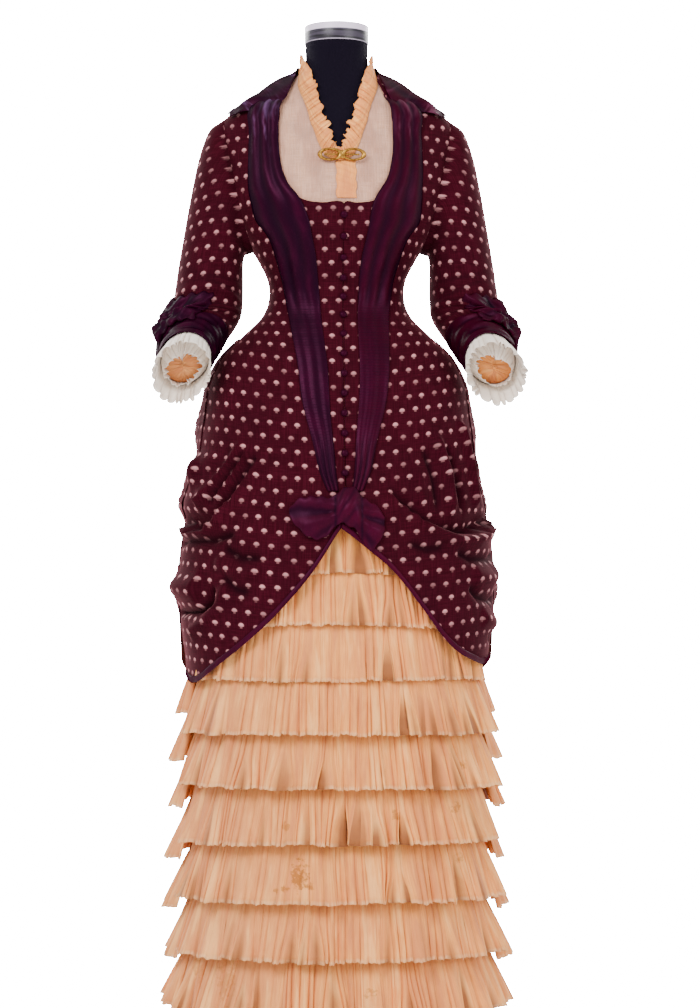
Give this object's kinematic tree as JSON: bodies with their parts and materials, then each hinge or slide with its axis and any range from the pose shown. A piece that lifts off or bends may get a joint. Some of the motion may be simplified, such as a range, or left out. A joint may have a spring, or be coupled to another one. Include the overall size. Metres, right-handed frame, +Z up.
{
  "type": "bustle dress on a limbless dress form",
  "caption": "Two-part bustle dress of about 1880 on a limbless form: looped brocade polonaise with satin facings over a skirt of pleated frills.",
  "frame": {"origin": "centre of the underside of the stand's round foot, on the floor", "axes": "+Z up through the pole, the dress's front looks along -Y, the wearer's left is +X"},
  "size_m": [0.5364, 0.5045, 1.4503],
  "materials": {
    "form": "matt black jersey over a solid form",
    "metal": "satin",
    "stand": "black, semi-gloss",
    "brocade": "dark burgundy silk brocade with a small pale figure",
    "satin": "dark plum silk satin",
    "batiste": "ivory cotton batiste, matt",
    "peach": "peach silk, matt, lightly stained",
    "gold": "worn gilt"
  },
  "bodies": {
    "root": {"form_torso": "form", "form_neck_cap": "metal", "stand": "stand", "underskirt": "peach", "front_tier_1": "peach", "front_tier_2": "peach", "front_tier_3": "peach", "front_tier_4": "peach", "front_tier_5": "peach", "front_tier_6": "peach", "front_tier_7": "peach", "front_tier_8": "peach", "front_tier_9": "peach", "back_tier_1": "peach", "back_tier_2": "peach", "back_tier_3": "peach", "back_tier_4": "peach", "back_tier_5": "peach", "back_tier_6": "peach", "back_tier_7": "peach", "front_left": "brocade", "front_right": "brocade", "back_left": "brocade", "back_right": "brocade", "chemisette": "batiste", "placket": "peach", "neck_frill": "peach", "brooch": "gold", "collar": "satin", "revers_left": "satin", "sleeve_left": "brocade", "cuff_left": "satin", "cuff_frill_left": "batiste", "cuff_bow_left": "satin", "drape_left": "brocade", "hem_band_left": "satin", "revers_right": "satin", "sleeve_right": "brocade", "cuff_right": "satin", "cuff_frill_right": "batiste", "cuff_bow_right": "satin", "drape_right": "brocade", "hem_band_right": "satin", "back_puff": "brocade", "front_bow": "satin", "button_01": "satin", "button_02": "satin", "button_03": "satin", "button_04": "satin", "button_05": "satin", "button_06": "satin", "button_07": "satin", "button_08": "satin", "button_09": "satin", "button_10": "satin", "button_11": "satin", "button_12": "satin", "button_13": "satin", "button_14": "satin"}
  },
  "joints": []
}
